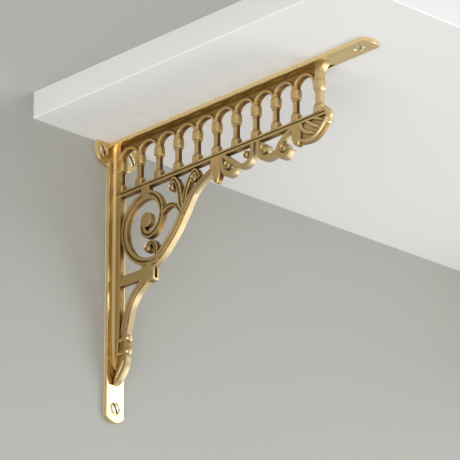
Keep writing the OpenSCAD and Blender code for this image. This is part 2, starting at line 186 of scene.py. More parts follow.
@dataclass
class Casting:
    """A mesh in the making: closed shells that run into each other, in millimetres."""

    points: Ring = field(default_factory=list)
    faces: list[tuple[int, ...]] = field(default_factory=list)

    def shell(self, points: Rows, faces: Sequence[Sequence[int]]) -> None:
        """Adds one closed shell, whose faces are numbered from its own first point."""
        base = len(self.points)
        self.points += [tuple(point) for point in points]
        self.faces += [tuple(base + corner for corner in face) for face in faces]

    def loft(self, rings: Sequence[Ring], closed: bool = False) -> None:
        """Joins rings of equal length into a closed shell.

        Args:
            rings: The rings in order.
            closed: Whether the last ring joins the first, with no end faces.
        """
        size = len(rings[0])
        spans = len(rings) if closed else len(rings) - 1
        faces = []
        for span in range(spans):
            low, high = span * size, (span + 1) % len(rings) * size
            for i in range(size):
                after = (i + 1) % size
                faces.append((low + i, low + after, high + after, high + i))
        if not closed:
            last = (len(rings) - 1) * size
            faces.append(tuple(range(size - 1, -1, -1)))
            faces.append(tuple(range(last, last + size)))
        self.shell([point for ring in rings for point in ring], faces)

    def sweep(self, place: Place, path: Sequence[Stroke], thick: float, moulding: Moulding) -> None:
        """Runs a moulding along a path in a side plane, with rounded ends.

        Args:
            place: Puts (outward, down, across the wall) into the row frame.
            path: The middle line as (outward, down, width).
            thick: Thickness across the wall.
            moulding: The section.
        """
        last = len(path) - 1
        stations = []
        for i, (u, v, width) in enumerate(path):
            back, ahead = path[max(i - 1, 0)], path[min(i + 1, last)]
            along = Vector((ahead[0] - back[0], ahead[1] - back[1])).normalized()
            stations.append((Vector((u, v)), along, width))
        steps = 4
        for end, sign in ((0, -1), (last, 1)):
            centre, along, width = stations[end] if end == 0 else stations[-1]
            caps = [(centre + along * sign * width / 2 * math.sin(k / steps * math.pi / 2), along,
                     width * max(math.cos(k / steps * math.pi / 2), 0.06)) for k in range(1, steps + 1)]
            stations = caps[::-1] + stations if end == 0 else stations + caps
        rings = []
        for centre, along, width in stations:
            side = Vector((-along.y, along.x)) * width / 2
            rings.append([place(centre.x + side.x * across, centre.y + side.y * across, out * thick / 2)
                          for across, out in moulding.loop()])
        self.loft(rings)

    def dome(self, place: Place, outline: Sequence[Flat], thick: float, swell: float) -> None:
        """Adds a leaf: a closed outline, swollen on both faces.

        Args:
            place: Puts (outward, down, across the wall) into the row frame.
            outline: The outline as (outward, down).
            thick: Thickness at the outline.
            swell: Thickness at the middle.
        """
        mid_u, mid_v = (sum(values) / len(outline) for values in zip(*outline))
        shares = ((1, 0), (0.97, 0.16), (0.88, 0.42), (0.7, 0.74), (0.45, 0.94), (0.15, 1))
        back, front = ([[place(mid_u + (u - mid_u) * share, mid_v + (v - mid_v) * share,
                               side * (thick + (swell - thick) * rise) / 2) for u, v in outline]
                        for share, rise in shares] for side in (-1, 1))
        self.loft(back[::-1] + front)

    def lathe(self, place: Place, profile: Sequence[Flat], turns: int = 32, closed: bool = False) -> None:
        """Turns a profile about an axis.

        Args:
            place: Puts (radius times cosine, radius times sine, along the axis) into the row frame.
            profile: The profile as (radius, along the axis).
            turns: Number of sides.
            closed: Whether the profile is a closed loop off the axis.
        """
        spokes = arc((0, 0), 1, 0, 360, turns)[:-1]
        if closed:
            self.loft([[place(r * a, r * b, z) for r, z in profile] for a, b in spokes], closed=True)
        else:
            self.loft([[place(r * a, r * b, z) for a, b in spokes] for r, z in profile])

    def plate(self, place: Place, outline: Sequence[Flat], holes: Sequence[Sequence[Flat]],
              low: float, high: float, soft: float) -> None:
        """Adds a flat plate with softened edges.

        Args:
            place: Puts (first, second, through the plate) into the row frame.
            outline: Its outline.
            holes: The outlines of its holes.
            low: Level of its first face.
            high: Level of its second face.
            soft: Radius of its edges.
        """
        curve = bpy.data.curves.new("plate", "CURVE")
        curve.dimensions = "2D"
        curve.fill_mode = "BOTH"
        curve.extrude = (high - low) / 2 - soft
        curve.bevel_depth = soft
        curve.bevel_resolution = 2
        curve.offset = -soft
        for loop in [outline, *holes]:
            spline = curve.splines.new("POLY")
            spline.points.add(len(loop) - 1)
            for point, (a, b) in zip(spline.points, loop):
                point.co = (a, b, 0, 1)
            spline.use_cyclic_u = True
        drawn = linked("plate", curve)
        mesh = evaluated(drawn)
        build = bmesh.new()
        build.from_mesh(mesh)
        bmesh.ops.remove_doubles(build, verts=build.verts, dist=0.002)
        build.verts.index_update()
        middle = (low + high) / 2
        self.shell([place(v.co.x, v.co.y, v.co.z + middle) for v in build.verts],
                   [[v.index for v in face.verts] for face in build.faces])
        build.free()
        bpy.data.meshes.remove(mesh)
        bpy.data.objects.remove(drawn)
        bpy.data.curves.remove(curve)

    def piece(self, name: str, finish: bpy.types.Material, crease: float = CREASE) -> bpy.types.Object:
        """Makes the object, in metres, with its faces pointing outwards and its crisp edges kept.

        Args:
            name: The object's name.
            finish: Its material.
            crease: Edges that turn by more than this stay sharp.

        Returns:
            The new object.
        """
        mesh = bpy.data.meshes.new(name)
        mesh.from_pydata([Vector(point) * MM for point in self.points], [], self.faces)
        build = bmesh.new()
        build.from_mesh(mesh)
        bmesh.ops.recalc_face_normals(build, faces=build.faces)
        for face in build.faces:
            face.smooth = True
        for edge in build.edges:
            edge.smooth = len(edge.link_faces) == 2 and edge.calc_face_angle() < crease
        build.to_mesh(mesh)
        build.free()
        mesh.materials.append(finish)
        return linked(name, mesh)


def upright(u: float, v: float, t: float) -> Solid:
    """Keeps a point as it is, for work that is done in the row frame."""
    return (u, v, t)


def apply_modifiers(made: bpy.types.Object) -> None:
    """Bakes an object's modifiers into its own mesh."""
    mesh = evaluated(made)
    old = made.data
    name = old.name
    made.modifiers.clear()
    made.data = mesh
    bpy.data.meshes.remove(old)
    mesh.name = name


def cut_away(made: bpy.types.Object, cutters: Sequence[tuple[Solid, Solid]], soft: float) -> None:
    """Cuts boxes out of an object and softens the new edges.

    Args:
        made: The object, in metres.
        cutters: Each box as (middle, size) in millimetres.
        soft: Radius of the softened edges, in millimetres.
    """
    tools = []
    for middle, size in cutters:
        mesh = bpy.data.meshes.new("cutter")
        build = bmesh.new()
        bmesh.ops.create_cube(build, size=1, matrix=Matrix.LocRotScale(
            Vector(middle) * MM, None, Vector(size) * MM))
        build.to_mesh(mesh)
        build.free()
        tools.append(linked("cutter", mesh))
        cut = made.modifiers.new("cut", "BOOLEAN")
        cut.operation = "DIFFERENCE"
        cut.solver = "EXACT"
        cut.object = tools[-1]
    bevel = made.modifiers.new("soft", "BEVEL")
    bevel.width = soft * MM
    bevel.segments = 2
    bevel.limit_method = "ANGLE"
    bevel.angle_limit = math.radians(50)
    apply_modifiers(made)
    for tool in tools:
        mesh = tool.data
        bpy.data.objects.remove(tool)
        bpy.data.meshes.remove(mesh)


# ---- Finishes ----


class Graph:
    """The shader nodes of one material."""

    def __init__(self, name: str) -> None:
        """Starts a material with no nodes."""
        self.material = bpy.data.materials.new(name)
        self.material.use_nodes = True
        self.tree = self.material.node_tree
        self.tree.nodes.clear()

    def node(self, kind: str, settings: dict[str, object] | None = None,
             sockets: dict[str | int, object] | None = None) -> bpy.types.Node:
        """Adds a node.

        Args:
            kind: The node's type.
            settings: Its settings, set before its sockets.
            sockets: A value, or a signal to link, for each named or numbered input.

        Returns:
            The node.
        """
        made = self.tree.nodes.new(kind)
        for key, value in (settings or {}).items():
            setattr(made, key, value)
        for key, value in (sockets or {}).items():
            if isinstance(value, Signal):
                self.tree.links.new(value.socket, made.inputs[key])
            else:
                made.inputs[key].default_value = value
        return made

    def signal(self, kind: str, settings: dict[str, object] | None = None,
               sockets: dict[str | int, object] | None = None, output: str | int = 0) -> "Signal":
        """Adds a node and gives one of its outputs, as named or numbered."""
        return Signal(self, self.node(kind, settings, sockets).outputs[output])

    def place(self) -> "Signal":
        """Gives the point on the object that is being shaded."""
        return self.signal("ShaderNodeTexCoord", output="Object")

    def noise(self, where: "Signal", scale: float, detail: float, roughness: float = 0.55) -> "Signal":
        """Gives cloudy noise, about 0 to 1, with so many blotches to a metre and octaves of detail."""
        sockets = {"Vector": where, "Scale": scale, "Detail": detail, "Roughness": roughness}
        return self.signal("ShaderNodeTexNoise", None, sockets, "Fac")

    def stretched(self, where: "Signal", scale: Solid) -> "Signal":
        """Gives a point that is scaled along each axis."""
        return self.signal("ShaderNodeVectorMath", {"operation": "MULTIPLY"}, {0: where, 1: scale})

    def part(self, whole: "Signal", axis: int) -> "Signal":
        """Gives one part of a vector: 0, 1 or 2 for its X, Y or Z."""
        return self.signal("ShaderNodeSeparateXYZ", None, {0: whole}, axis)

    def size(self, value: "Signal") -> "Signal":
        """Gives a value without its sign."""
        return self.signal("ShaderNodeMath", {"operation": "ABSOLUTE"}, {0: value})

    def blend(self, share: "Signal", first: object, second: object) -> "Signal":
        """Mixes two colours or colour signals: a share of 0 gives the first, 1 the second."""
        return self.signal("ShaderNodeMix", {"data_type": "RGBA"}, {0: share, 6: first, 7: second}, 2)

    def bump(self, height: "Signal", depth: float, under: "Signal | None" = None) -> "Signal":
        """Turns a height into a normal.

        Args:
            height: The height, 0 to 1.
            depth: What 1 stands for, in metres.
            under: Another bump that this one lies on.

        Returns:
            The normal.
        """
        sockets = {"Height": height, "Distance": depth, "Strength": 1.0}
        if under is not None:
            sockets["Normal"] = under
        return self.signal("ShaderNodeBump", None, sockets, "Normal")

    def finish(self, shader: "Signal") -> bpy.types.Material:
        """Links the last shader to the output and gives the material."""
        self.node("ShaderNodeOutputMaterial", None, {"Surface": shader})
        return self.material


@dataclass(frozen=True)
class Signal:
    """A socket's value, so that shader maths reads as an expression."""

    graph: Graph
    socket: bpy.types.NodeSocket

    def _math(self, operation: str, first: object, second: object) -> "Signal":
        """Adds a Math node on two values."""
        return self.graph.signal("ShaderNodeMath", {"operation": operation}, {0: first, 1: second})

    def __add__(self, other: object) -> "Signal":
        """Adds a value."""
        return self._math("ADD", self, other)

    def __radd__(self, other: object) -> "Signal":
        """Adds this to a number."""
        return self._math("ADD", other, self)

    def __sub__(self, other: object) -> "Signal":
        """Takes a value away."""
        return self._math("SUBTRACT", self, other)

    def __rsub__(self, other: object) -> "Signal":
        """Takes this away from a number."""
        return self._math("SUBTRACT", other, self)

    def __mul__(self, other: object) -> "Signal":
        """Multiplies by a value."""
        return self._math("MULTIPLY", self, other)

    def __rmul__(self, other: object) -> "Signal":
        """Multiplies a number by this."""
        return self._math("MULTIPLY", other, self)

    def held(self) -> "Signal":
        """Keeps the value between 0 and 1."""
        return self.graph.signal("ShaderNodeClamp", None, {"Value": self})

    def past(self, start: float, slope: float) -> "Signal":
        """Rises from 0 at the start to 1, by so much per unit, or falls if the slope is below 0."""
        return ((self - start) * slope).held()


@dataclass(frozen=True)
class Brass:
    """Brass with a brown patina and painted shade in its recesses and on its flanks, over a polished or a
    cast surface.
    """

    name: str
    metal: Solid = (0.67, 0.48, 0.22)
    # Colour of the patina and of the painted shade.
    dark_patina_and_shade: Solid = (0.13, 0.065, 0.018)
    # Colour of the duller flats on a strip, partly painted shade.
    dull_and_shade: Solid = (0.45, 0.3, 0.105)
    shine: float = 0.3
    spread: float = 0.14
    # Strength of the patina and of the painted shade.
    patina_and_shade: float = 1.0
    recess: float = 0.006
    # Painted shade on the flanks; below 0 it becomes a painted highlight.
    flank_shade: float = 0.5
    cloud_scale: float = 110
    grain_scale: float = 1100
    grain: float = 0.00004
    wave_scale: float = 60
    wave: float = 0.00015
    # Painted highlight colour for the flanks.
    flank_highlight: Solid | None = None
    edge_metal: Solid = (0.94, 0.74, 0.4)
    strips: bool = False

    def build(self) -> bpy.types.Material:
        """Makes the material."""
        g = Graph(self.name)
        where = g.place()
        cloud = g.noise(where, self.cloud_scale, 4)
        fine = g.noise(where, self.grain_scale, 3, 0.6)
        # The darkening is patina in the hollows together with painted shade where ambient light is occluded,
        # in creases and on the flanks.
        open_air = g.signal("ShaderNodeAmbientOcclusion", {"samples": 8}, {"Distance": self.recess}, "AO")
        point = g.signal("ShaderNodeNewGeometry", output="Pointiness")
        facing = g.signal("ShaderNodeNewGeometry", output="Normal")
        # The flanks, whose faces look along the wall, take painted shade; a setting below 0 makes it a
        # painted highlight.
        flank = 1 - g.size(g.part(facing, 0))
        # Convex edges lose the darkening: partly real rubbing, partly a painted highlight.
        worn_and_highlit = point.past(0.505, 14)
        hollow = (1 - open_air) * 1.25 + point.past(0.495, -9) + flank * self.flank_shade
        stain_and_shade = ((hollow + (cloud - 0.5) * 0.6) * self.patina_and_shade - worn_and_highlit * 0.55).held()
        richer = tuple(value * share for value, share in zip(self.metal, (0.93, 0.87, 0.74)))
        warm = g.blend(cloud, (*self.metal, 1), (*richer, 1))
        rough = self.shine + cloud * self.spread + stain_and_shade * 0.22
        # Painted highlight: the flanks take a paler, cream colour.
        if self.flank_highlight:
            warm = g.blend(flank.past(0.3, 2.2), warm, (*self.flank_highlight, 1))
        # On a strip, painted shade: duller, streaked flats, partly also less polished, and a dark band on the
        # inner half.
        if self.strips:
            streaks_and_shade, far = self.strip_wear_and_shade(g, where)
            warm = g.blend(streaks_and_shade, warm, (*self.dull_and_shade, 1))
            warm = g.blend(far, warm, (*(value * 0.35 for value in self.dark_patina_and_shade), 1))
            side = flank.past(0.4, -5)
            warm = g.blend(side, warm, (*self.edge_metal, 1))
            rough = rough + streaks_and_shade * 0.16 + far * 0.3 + side * 0.16
        colour = g.blend(stain_and_shade, warm, (*self.dark_patina_and_shade, 1))
        normal = g.bump(fine, self.grain, g.bump(g.noise(where, self.wave_scale, 1), self.wave))
        shader = g.signal("ShaderNodeBsdfPrincipled", None, {
            "Base Color": colour, "Metallic": 1.0, "Roughness": rough.held(), "Normal": normal})
        return g.finish(shader)

    def strip_wear_and_shade(self, g: Graph, where: "Signal") -> tuple["Signal", "Signal"]:
        """Gives the duller, streaked flats on a strip, between its bright rims and the bead.

        The flats are partly less polished and partly painted shade.

        Args:
            g: The material's nodes.
            where: The point that is being shaded.

        Returns:
            1 on the streaked flats and 0 on the rims, the bead, the foot and the tip; and a painted shade
            band on the half of a strip that lies towards the middle of the shelf.
        """
        x, y, z = (g.part(where, axis) for axis in range(3))
        aside = g.size(g.size(x) - BRACKET_X * MM)
        flat = aside.past(BEAD_SIDE * MM, SHARP) * aside.past(STRIP_RIM * MM, -SHARP)
        rib = aside.past(RIB_SIDE * MM, -SHARP)
        above_foot = z.past(-FIELD_FOOT * MM - 0.5 / FOOT_FADE, FOOT_FADE)
        short_of_tip = y.past(-FIELD_TIP * MM, 260)
        streak = g.noise(g.stretched(where, (520, 26, 26)), 1, 2).past(0.4, 4.5)
        ear = (aside.past(EAR_SIDE * MM, SHARP) * z.past(-EAR_FOOT * MM, SHARP)
               * y.past(-EAR_BACK * MM, SHARP))
        # Painted shade: a dark band on the inner half, from the board down to a set level.
        inner = g.size(x).past(BRACKET_X * MM, -SHARP) * z.past(-INNER_SHADE_FOOT * MM, SHARP)
        across = flat * (0.3 + streak * 0.7) + rib * 0.4
        streaks_and_shade = (across * above_foot * short_of_tip + ear * (0.3 + streak * 0.3)).held()
        return streaks_and_shade, flat * inner * short_of_tip


@dataclass(frozen=True)
class Paint:
    """Satin paint laid on with a small roller."""

    name: str
    colour: Solid
    second: Solid
    rough: float = 0.42
    stipple: float = 0.00003
    scale: float = 420
    one_sided: bool = False

    def build(self) -> bpy.types.Material:
        """Makes the material."""
        g = Graph(self.name)
        where = g.place()
        cloud = g.noise(where, 3.2, 3)
        skin = g.noise(where, self.scale, 2, 0.5)
        colour = g.blend(cloud, (*self.colour, 1), (*self.second, 1))
        rough = (self.rough + skin * 0.14).held()
        shader = g.signal("ShaderNodeBsdfPrincipled", None, {
            "Base Color": colour, "Roughness": rough, "Normal": g.bump(skin, self.stipple)})
        if self.one_sided:
            behind = g.signal("ShaderNodeNewGeometry", output="Backfacing")
            clear = g.signal("ShaderNodeBsdfTransparent")
            shader = g.signal("ShaderNodeMixShader", None, {0: behind, 1: shader, 2: clear})
        return g.finish(shader)


@dataclass(frozen=True)
class Nylon:
    """Grey moulded nylon with a slight sheen."""

    name: str
    colour: Solid = (0.33, 0.34, 0.36)

    def build(self) -> bpy.types.Material:
        """Makes the material."""
        g = Graph(self.name)
        where = g.place()
        skin = g.noise(where, 700, 2)
        colour = g.blend(skin, (*self.colour, 1), (*(value * 0.86 for value in self.colour), 1))
        shader = g.signal("ShaderNodeBsdfPrincipled", None, {
            "Base Color": colour, "Roughness": 0.4 + skin * 0.12, "Normal": g.bump(skin, 0.00003)})
        return g.finish(shader)


# ---- Pieces ----


@dataclass
class Board:
    """The painted shelf board, with a painted highlight on its rounded edges."""

    finish: bpy.types.Material
    highlight_finish: bpy.types.Material
    edge: float = 0.75

    def build(self) -> None:
        """Makes the board with all but its wall edges rounded, and a painted highlight on the rounded faces.
        """
        low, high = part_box("shelf_board")
        build = bmesh.new()
        bmesh.ops.create_cube(build, size=1, matrix=Matrix.LocRotScale((low + high) / 2, None, high - low))
        back = high.y - MM
        edges = [e for e in build.edges if min(v.co.y for v in e.verts) < back]
        rounded = bmesh.ops.bevel(
            build, geom=edges, offset=self.edge * MM, segments=5, profile=0.5, affect="EDGES")
        for face in build.faces:
            face.smooth = True
        # The rounded faces take a paler paint: a painted highlight.
        for face in rounded["faces"]:
            face.material_index = 1
        for edge in build.edges:
            edge.smooth = edge.calc_face_angle() < CREASE
        mesh = bpy.data.meshes.new("painted_board")
        build.to_mesh(mesh)
        build.free()
        mesh.materials.append(self.finish)
        mesh.materials.append(self.highlight_finish)
        declare(linked("painted_board", mesh), "shelf_board", "board_paint")


def declare(made: bpy.types.Object, node: str, slot: str) -> None:
    """Puts a finished piece in the place of a CAD node.

    Args:
        made: The piece.
        node: The CAD node that it stands for.
        slot: The material slot that it takes its finish from.
    """
    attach(made, "root")
    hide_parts(node)
    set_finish(made, slot)
    log.info("%s stands for %s, %d faces", made.name, node, len(made.data.polygons))


@dataclass
class WoodScrew:
    """A slotted countersunk wood screw."""

    finish: bpy.types.Material
    node: str
    seat: Solid
    into: Solid
    length: float
    slot_turn: float = 0.0
    head_r: float = 3.9
    shank_r: float = 2.1
    thread_r: float = 2.0
    core_r: float = 1.45
    pitch: float = 1.8
    bite_share: float = 0.62
    point: float = 3.5
    slot_w: float = 1.5
    slot_depth: float = 1.3

    def build(self) -> None:
        """Makes the screw along -Z, cuts its slot, and seats it."""
        work = Casting()
        head_h = self.head_r - self.shank_r
        bite = self.length * self.bite_share
        work.lathe(upright, [
            (0.05, 0.42), (1.3, 0.38), (2.4, 0.22), (3.2, 0.02), (self.head_r - 0.2, -0.2),
            (self.head_r, -0.34), (self.head_r - 0.06, -0.46), (self.shank_r, -head_h - 0.3),
            (self.shank_r, -self.length + bite + 1), (self.core_r, -self.length + bite),
            (self.core_r, -self.length + self.point), (0.25, -self.length + 0.2), (0.05, -self.length)], 40)
        turns = (bite - self.point) / self.pitch
        steps = int(turns * 20)
        rings = []
        for i in range(steps + 1):
            angle = 2 * math.pi * turns * i / steps
            z = -self.length + 3.2 + self.pitch * turns * i / steps
            fade = min(1.0, i / 12, (steps - i) / 12)
            root = self.core_r - 0.2
            crest = self.core_r - 0.1 + (self.thread_r - self.core_r + 0.1) * fade
            rings.append([(r * math.cos(angle), r * math.sin(angle), z + up)
                          for r, up in ((root, -0.45), (crest, -0.05), (crest, 0.05), (root, 0.45))])
        work.loft(rings)
        made = work.piece("visible_" + self.node, self.finish)
        cut_away(made, [((0, 0, 0), (3 * self.head_r, self.slot_w, 2 * self.slot_depth))], 0.12)
        turn = Matrix.Rotation(math.radians(self.slot_turn), 4, "Z")
        aim = Vector((0, 0, -1)).rotation_difference(Vector(self.into)).to_matrix().to_4x4()
        made.data.transform(Matrix.Translation(Vector(self.seat) * MM) @ aim @ turn)
        declare(made, self.node, "screw_brass")


@dataclass
class WallPlug:
    """A nylon wall plug with barbs, a collar at its mouth and a slit end."""

    finish: bpy.types.Material
    node: str
    radius: float = 3.5
    length: float = 30.0
    waist: float = 3.1
    bore: float = 2.16
    barbs: int = 9
    barb_pitch: float = 2.5
    slit: float = 0.8

    def build(self) -> None:
        """Makes the plug at the place of its CAD node."""
        low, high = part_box(self.node)
        middle = (low + high) / 2 / MM
        full, waist = self.radius, self.waist
        profile = [(self.bore, 0.0), (full - 0.15, 0.0), (full, 0.3), (full, 1.6), (waist + 0.05, 1.9)]
        for i in range(self.barbs):
            at = 3 + i * self.barb_pitch
            profile += [(waist, at), (full, at + 0.35), (full, at + 0.8), (waist, at + 2.2)]
        profile += [(waist, self.length - 3.6), (2.7, self.length), (self.bore, self.length)]
        work = Casting()
        work.lathe(upright, profile, 32, closed=True)
        made = work.piece("visible_" + self.node, self.finish)
        made.data.transform(Matrix.Rotation(math.radians(-90), 4, "X"))
        middle_of_slit = (0, self.length - 3, 0)
        cut_away(made, [(middle_of_slit, (8, 20, self.slit)), (middle_of_slit, (self.slit, 20, 8))], 0.1)
        made.data.transform(Matrix.Translation(Vector((middle.x, 0, middle.z)) * MM))
        declare(made, self.node, "plug_nylon")


@dataclass
class Bracket:
    """One bracket: strips and ears, rib, gallery of arches, rail, scrolls, leaves and ringed finial.

    The ornament starts at the bed, a little way into the strips. The scrolls hang from a level of their
    own, a little below the rail.
    """

    side: str
    polished: bpy.types.Material
    cast: bpy.types.Material
    # Paler brass for raised rims: a belt-ground finish, partly a painted highlight.
    linished_highlit: bpy.types.Material
    # Brass for braces and running scrolls, with a painted highlight on the flanks.
    flank_highlit: bpy.types.Material
    # Darker brass for sunk parts: painted shade.
    shade_darkened: bpy.types.Material
    strip_w: float = 16.0
    strip_t: float = 3.0
    strip_bulge: float = 3.2
    reach: float = 254.0
    drop: float = 203.0
    ear_span: float = 38.0
    ear_drop: float = 17.0
    ear_holes: float = 26.0
    hole_r: float = 4.08
    shank_r: float = 2.35
    web_t: float = 4.6
    end_post: float = 203.0
    first_column: float = 7.6
    arch_count: int = 10
    arch_pitch: float = 19.24
    arch_r: float = 7.97
    arch_spring: float = 14.97
    rail_top: float = 36.75
    level: float = 43.25
    bed: float = 2.4
    post_half: float = 2.6
    middle: float = field(init=False)

    def __post_init__(self) -> None:
        """Reads where the bracket stands from its CAD node."""
        low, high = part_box(self.side + "_bracket")
        self.middle = (low.x + high.x) / 2 / MM

    def stand(self, u: float, v: float, t: float) -> Solid:
        """Puts (outward, down, across the wall) into the row frame."""
        return (self.middle + t, -u, -v)

    def below(self, points: Rows, steps: int = 7, closed: bool = False) -> Samples:
        """Smooths points that are given down from the scrolls' level, and puts them in the side plane."""
        return [(p[0], p[1] + self.level, *p[2:]) for p in smooth(points, steps, closed)]

    def strip_outline(self, length: float) -> list[Flat]:
        """Gives a strip's far end, from its one side round to the other, as (across, along)."""
        half = self.strip_w / 2
        radius = (half ** 2 + self.strip_bulge ** 2) / (2 * self.strip_bulge)
        sweep = math.degrees(math.asin(half / radius))
        return arc((0, length - radius), radius, 90 - sweep, 90 + sweep, 16)

    def seat(self, work: Casting, place: Place) -> None:
        """Adds the conical seat of a screw hole; place puts (across, across, into the strip)."""
        cone = [(4.5, 0.5), (4.5, 2.9), (self.shank_r, 2.9), (self.shank_r, 2.0), (self.hole_r - 0.04, 0.28)]
        work.lathe(place, cone, 40, closed=True)

    def strips(self) -> None:
        """Makes the polished wall strip with its two ears, and the arm strip."""
        work = Casting()
        half, ear = self.strip_w / 2, (self.ear_span - self.strip_w) / 2
        right = arc((half, self.ear_drop - ear), ear, 0, 90, 14)
        foot = self.strip_outline(self.drop)
        left = [(-x, z) for x, z in reversed(right)]
        outline = [(self.ear_span / 2, 0), *right, *foot, *left, (-self.ear_span / 2, 0)]
        spots = [(self.ear_holes / 2, 7.0), (-self.ear_holes / 2, 7.0), (0.0, self.drop - 10)]
        holes = [arc(spot, self.hole_r, 0, 348.75, 31) for spot in spots]

        def on_wall(x: float, down: float, y: float) -> Solid:
            """Puts (across, down, out from the wall) into the row frame."""
            return (self.middle + x, -y, -down)

        def under_board(x: float, out: float, down: float) -> Solid:
            """Puts (across, out from the wall, down) into the row frame."""
            return (self.middle + x, -out, -down)

        work.plate(on_wall, outline, holes, 0.0, self.strip_t, 0.4)
        for spot in spots:
            self.seat(work, lambda a, b, into, at=spot: on_wall(at[0] + a, at[1] + b, self.strip_t - into))
        tip = self.reach - 13
        arm = [(half, 0.2), *self.strip_outline(self.reach), (-half, 0.2)]
        work.plate(under_board, arm, [arc((0, tip), self.hole_r, 0, 348.75, 31)], 0.0, self.strip_t, 0.4)
        self.seat(work, lambda a, b, into: under_board(a, tip + b, self.strip_t - into))
        self.declare(work, "strips", self.polished)

    def rib(self) -> None:
        """Makes the rib that runs down the wall strip, on its raised bead."""
        work, fillet = Casting(), Casting()
        body = [(2.35, 2.7), (2.35, 5.0), (2.3, 8.2), (2.1, 8.75), (1.5, 9.0)]
        cove = [(3.7, 2.7), (3.7, 3.15), (3.4, 3.55), (2.9, 3.8), (2.45, 4.4), (1.2, 4.4)]
        foot = self.level + 122
        for made, section in ((work, body), (fillet, cove)):
            loop = section + [(-t, y) for t, y in reversed(section)]
            rings = [[self.stand(y, v, t) for t, y in loop] for v in (2.6, foot - 26)]
            for share, up in ((0.93, 20), (0.8, 14), (0.62, 8), (0.4, 3.5), (0.12, 0)):
                narrow = 0.3 + 0.7 * share
                rings.append([self.stand(2.7 + (y - 2.7) * share, foot - up, t * narrow) for t, y in loop])
            made.loft(rings)
        self.declare(fillet, "rib_fillet", self.polished)
        self.declare(work, "rib", self.cast)

    def column(self, work: Casting, out: float, extra: float) -> None:
        """Adds an eight-sided column with its capital and stepped base.

        Args:
            work: The mesh in the making.
            out: Its distance from the wall.
            extra: How much wider it is than the others.
        """
        wide = extra / 2
        stack = [
            (11.4, 2.5, 2.4, 0.7), (13.4, 2.6, 2.5, 0.8), (13.9, 3, 2.7, 1.1), (14.8, 3.45, 3.05, 1.3),
            (15.3, 3.55, 3.15, 1.35), (19.9, 3.55, 3.15, 1.35), (20.5, 3.35, 3, 1.3), (21.2, 2.5, 2.4, 0.9),
            (21.35, 2.35, 2.25, 0.8), (22.4, 2.35, 2.25, 0.8), (22.6, 1.95, 1.9, 0.6), (30.7, 2, 1.95, 0.6),
            (31, 2.3, 2.2, 0.7), (32.5, 3.15, 2.8, 0.9), (32.8, 3.3, 2.95, 0.9), (37.2, 3.35, 2.95, 0.9)]
        work.loft([[self.stand(out + a, v, b) for a, b in chamfered(half_u + wide, half_t + wide / 2, cut)]
                   for v, half_u, half_t, cut in stack])

    def gallery(self) -> None:
        """Makes the pierced band over the arches, their archivolts, the columns and the end post."""
        work, bright, sunk = Casting(), Casting(), Casting()
        face = self.end_post + self.post_half
        spring, inner = self.arch_spring, self.arch_r + 0.9
        outline = [(2.0, self.bed), (face, self.bed), (face, spring)]
        centres = [self.first_column + (i + 0.5) * self.arch_pitch for i in range(self.arch_count)]
        for centre in reversed(centres):
            outline += arc((centre, spring), inner, 0, -180, 18)
        outline.append((2.0, spring))
        # The sunk plate behind the arches takes the darker brass: painted shade.
        sunk.plate(self.stand, outline, [], -1.3, 1.3, 0.2)
        for centre in centres:
            for made, grow, width, thick, moulding in (
                    (work, 0.95, 1.7, 4.4, Moulding.BAND), (bright, 1.75, 0.9, 5.4, Moulding.ROUND)):
                ring = arc((centre, spring + 0.4), self.arch_r + grow, 4, -184, 24)
                made.sweep(self.stand, [(u, v, width) for u, v in ring], thick, moulding)
        for i in range(self.arch_count):
            self.column(work, self.first_column + i * self.arch_pitch, 0.0)
        self.column(bright, self.end_post, 1.2)
        first = self.first_column - 1.5
        sunk.plate(self.stand, [(3, 12), (first, 12), (first, 38), (3, 38)], [], -1.5, 1.5, 0.2)
        bead_count, bead_pitch = 9, 1.6
        bead = [(max(r, 0.05), up) for r, up in arc((0, 0), 0.75, -90, 90, 8)]
        for i in range(bead_count):
            down = 22.0 + i * bead_pitch
            work.lathe(lambda a, b, t, down=down: self.stand(4.4 + a, down + b, t * 2.6), bead, 12)
        self.declare(sunk, "spandrels", self.shade_darkened)
        self.declare(work, "gallery", self.cast, FINE_CREASE)
        self.declare(bright, "archivolts", self.linished_highlit, FINE_CREASE)

    def gusset(self) -> None:
        """Makes the curved gusset between the end post and the arm strip."""
        work = Casting()
        face, inside, size, low = self.end_post + self.post_half, self.end_post - 2, 9.4, 14.4
        hollow = arc((face + size, self.bed + size), size - 0.4, 270, 180, 14)
        work.plate(self.stand, [(inside, self.bed), *hollow, (face, low), (inside, low)], [], -2.7, 2.7, 0.5)
        self.declare(work, "gusset", self.linished_highlit)

    def rail(self) -> None:
        """Makes the rail under the columns, with its groove and its rounded end."""
        work = Casting()
        middle = self.rail_top + 2.0
        work.sweep(self.stand, [(4.0, middle, 4.2), (209.4, middle, 4.2)], 5.4, Moulding.RAIL)
        self.declare(work, "rail", self.cast)
        hook = Casting()
        end = [(204.6, 35.4, 2), (208.4, 35.8, 3), (211.2, 38, 3.8), (212, 41.4, 4.2), (211, 45.4, 4)]
        hook.sweep(self.stand, smooth(end), 5.6, Moulding.ROUND)
        rim = [(181.4, 3, 1.8), (185.6, 8.4, 2.4), (192, 10.8, 2.8), (199, 10.4, 3.2), (204.6, 7.4, 3.6),
               (208.6, 3.6, 3.8), (211.2, 0.4, 4)]
        hook.sweep(self.stand, self.below(rim), 6.2, Moulding.ROUND)
        self.declare(hook, "end_hook", self.linished_highlit)

    def eye(self, work: Casting, out: float, down: float, front: Sequence[Flat], turns: int) -> None:
        """Turns a round eye from the (radius, across the wall) profile of its front half, rim first."""
        profile = [(r, -h) for r, h in reversed(front)] + list(front)
        work.lathe(lambda a, b, t: self.stand(out + a, down + self.level + b, t), profile, turns)

